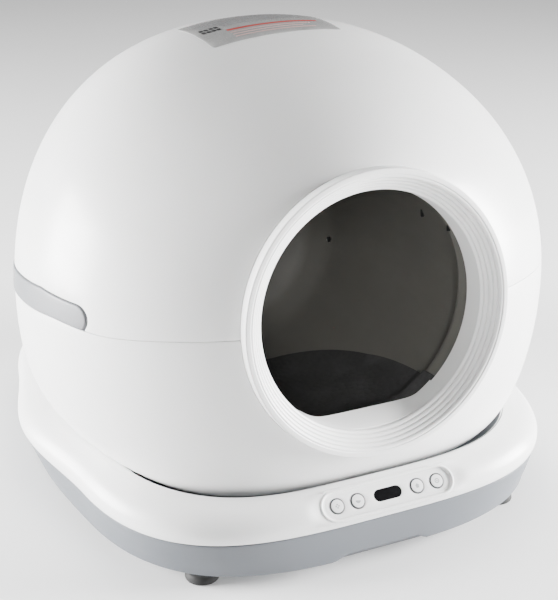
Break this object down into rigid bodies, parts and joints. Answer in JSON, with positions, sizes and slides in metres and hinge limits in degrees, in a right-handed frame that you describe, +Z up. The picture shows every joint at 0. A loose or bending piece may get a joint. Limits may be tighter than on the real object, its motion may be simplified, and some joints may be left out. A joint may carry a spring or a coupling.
{
  "type": "automatic cat litter box with lift-off hood",
  "caption": "Globe-shaped self-cleaning cat litter box: round tilted entrance, lift-off hood, turning litter drum, square base with a control panel and a rear waste drawer.",
  "frame": {"origin": "centre of the bounding box footprint, on the floor under the feet", "axes": "+Z up, -Y out of the entrance (front), +X to the right seen from the front"},
  "size_m": [0.5622, 0.573, 0.4771],
  "materials": {
    "shell_white": "satin gloss, warm white moulded plastic",
    "trim_white": "satin white moulded plastic",
    "base_grey": "satin blue-grey moulded plastic",
    "grip_grey": "satin grey moulded plastic",
    "drum_dark": "matt dark grey-brown plastic",
    "mat_black": "matt black soft rubber",
    "gloss_black": "polished black plastic",
    "foot_rubber": "matt black rubber",
    "nylon": "natural off-white running plastic",
    "circuit_green": "solder-masked circuit board",
    "steel": "brushed steel",
    "label_film": "thin translucent grey sticker film"
  },
  "bodies": {
    "base": {"lower_shell": "shell_white", "entrance_ring": "shell_white", "base_deck": "shell_white", "rear_tower": "shell_white", "entrance_sill": "trim_white", "lower_base": "base_grey", "chassis_plate": "base_grey", "rear_bearing_bracket": "base_grey", "roller_bracket_left": "base_grey", "roller_bracket_right": "base_grey", "gearbox": "base_grey", "display_window": "gloss_black", "power_inlet": "gloss_black", "foot_front_left": "foot_rubber", "foot_front_right": "foot_rubber", "foot_rear_left": "foot_rubber", "foot_rear_right": "foot_rubber", "rear_bush": "nylon", "drawer_rail_left": "nylon", "drawer_rail_right": "nylon", "main_board": "circuit_green", "control_board": "circuit_green", "roller_axle_left": "steel", "roller_axle_right": "steel", "motor": "steel", "load_cell_front_left": "steel", "load_cell_front_right": "steel", "load_cell_rear_left": "steel", "load_cell_rear_right": "steel", "chassis_screw_front_left": "steel", "chassis_screw_front_right": "steel", "chassis_screw_rear_left": "steel", "chassis_screw_rear_right": "steel"},
    "hood": {"upper_shell": "shell_white", "side_grip_left": "grip_grey", "side_grip_right": "grip_grey", "top_label": "label_film"},
    "drum": {"drum_shell": "drum_dark", "drum_mat": "mat_black", "drum_sieve": "drum_dark", "drum_gear_ring": "nylon", "drum_track_ring": "nylon", "drum_hub": "steel"},
    "pinion": {"drive_pinion": "nylon"},
    "roller_left": {"roller_left": "foot_rubber"},
    "roller_right": {"roller_right": "foot_rubber"},
    "drawer": {"waste_drawer": "base_grey", "bag_frame": "trim_white"},
    "button_1": {"button_1": "trim_white"},
    "button_2": {"button_2": "trim_white"},
    "button_3": {"button_3": "trim_white"},
    "button_4": {"button_4": "trim_white"}
  },
  "joints": [
    {"name": "hood_lift", "type": "slide", "parent": "base", "child": "hood", "axis": [0, 0, 1], "range_m": [0, 0.25]},
    {"name": "drum_turn", "type": "hinge", "parent": "base", "child": "drum", "pos_m": [0, -0.25378, 0.2556], "axis": [0, -0.991, 0.1342], "continuous": true},
    {"name": "pinion_turn", "type": "hinge", "parent": "base", "child": "pinion", "pos_m": [-0.1352, -0.26901, 0.14313], "axis": [0, -0.991, 0.1342], "continuous": true},
    {"name": "roller_left_turn", "type": "hinge", "parent": "base", "child": "roller_left", "pos_m": [-0.1036, -0.27157, 0.1242], "axis": [0, -0.991, 0.1342], "continuous": true},
    {"name": "roller_right_turn", "type": "hinge", "parent": "base", "child": "roller_right", "pos_m": [0.1036, -0.27157, 0.1242], "axis": [0, -0.991, 0.1342], "continuous": true},
    {"name": "drawer_slide", "type": "slide", "parent": "base", "child": "drawer", "axis": [0, 1, 0], "range_m": [0, 0.38]},
    {"name": "button_1_press", "type": "slide", "parent": "base", "child": "button_1", "axis": [0, 0.7431, -0.6691], "range_m": [0, 0.0008], "stiffness_N_per_m": 400},
    {"name": "button_2_press", "type": "slide", "parent": "base", "child": "button_2", "axis": [0, 0.7431, -0.6691], "range_m": [0, 0.0008], "stiffness_N_per_m": 400},
    {"name": "button_3_press", "type": "slide", "parent": "base", "child": "button_3", "axis": [0, 0.7431, -0.6691], "range_m": [0, 0.0008], "stiffness_N_per_m": 400},
    {"name": "button_4_press", "type": "slide", "parent": "base", "child": "button_4", "axis": [0, 0.7431, -0.6691], "range_m": [0, 0.0008], "stiffness_N_per_m": 400}
  ],
  "couplings": [
    {"joint": "pinion_turn", "follows": "drum_turn", "ratio": -7.2},
    {"joint": "roller_left_turn", "follows": "drum_turn", "ratio": -11},
    {"joint": "roller_right_turn", "follows": "drum_turn", "ratio": -11}
  ]
}
